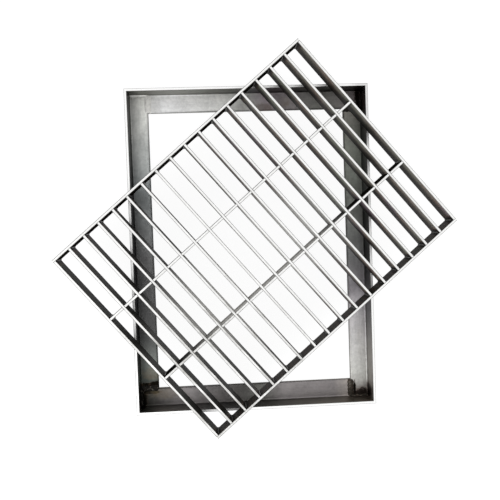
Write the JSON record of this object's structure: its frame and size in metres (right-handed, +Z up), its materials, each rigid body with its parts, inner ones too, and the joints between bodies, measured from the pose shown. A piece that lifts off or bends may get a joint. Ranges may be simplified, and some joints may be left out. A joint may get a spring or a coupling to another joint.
{
  "type": "drain grate",
  "caption": "Rectangular drain grate of welded flat bars on edge, with cross bars, lying turned on its angle-steel frame.",
  "frame": {"origin": "below the middle of the grate, in the plane of the frame's underside", "axes": "+Z up; +Y along the frame's long sides; the grate's long sides are turned 40.2 degrees from +X towards +Y"},
  "size_m": [0.7456, 0.7272, 0.095],
  "materials": {
    "frame_steel": "mill scale, worn bright on the rim",
    "bar_steel": "bright top edges, dull heat-tinted sides",
    "weld_steel": "heat-darkened weld bead"
  },
  "bodies": {
    "root": {"frame_rail_front": "frame_steel", "frame_rail_right": "frame_steel", "frame_rail_back": "frame_steel", "frame_rail_left": "frame_steel", "frame_weld_front_left": "weld_steel", "frame_weld_front_right": "weld_steel", "frame_weld_back_right": "weld_steel", "frame_weld_back_left": "weld_steel", "side_band_near": "bar_steel", "side_band_far": "bar_steel", "end_bar_left": "bar_steel", "end_bar_right": "bar_steel", "bearing_bar_01": "bar_steel", "bearing_bar_02": "bar_steel", "bearing_bar_03": "bar_steel", "bearing_bar_04": "bar_steel", "bearing_bar_05": "bar_steel", "bearing_bar_06": "bar_steel", "bearing_bar_07": "bar_steel", "bearing_bar_08": "bar_steel", "bearing_bar_09": "bar_steel", "bearing_bar_10": "bar_steel", "bearing_bar_11": "bar_steel", "bearing_bar_12": "bar_steel", "bearing_bar_13": "bar_steel", "bearing_bar_14": "bar_steel", "bearing_bar_15": "bar_steel", "bearing_bar_16": "bar_steel", "cross_bar_01": "bar_steel", "cross_bar_02": "bar_steel", "band_welds_near": "weld_steel", "band_welds_far": "weld_steel", "cross_bar_welds": "weld_steel"}
  },
  "joints": []
}
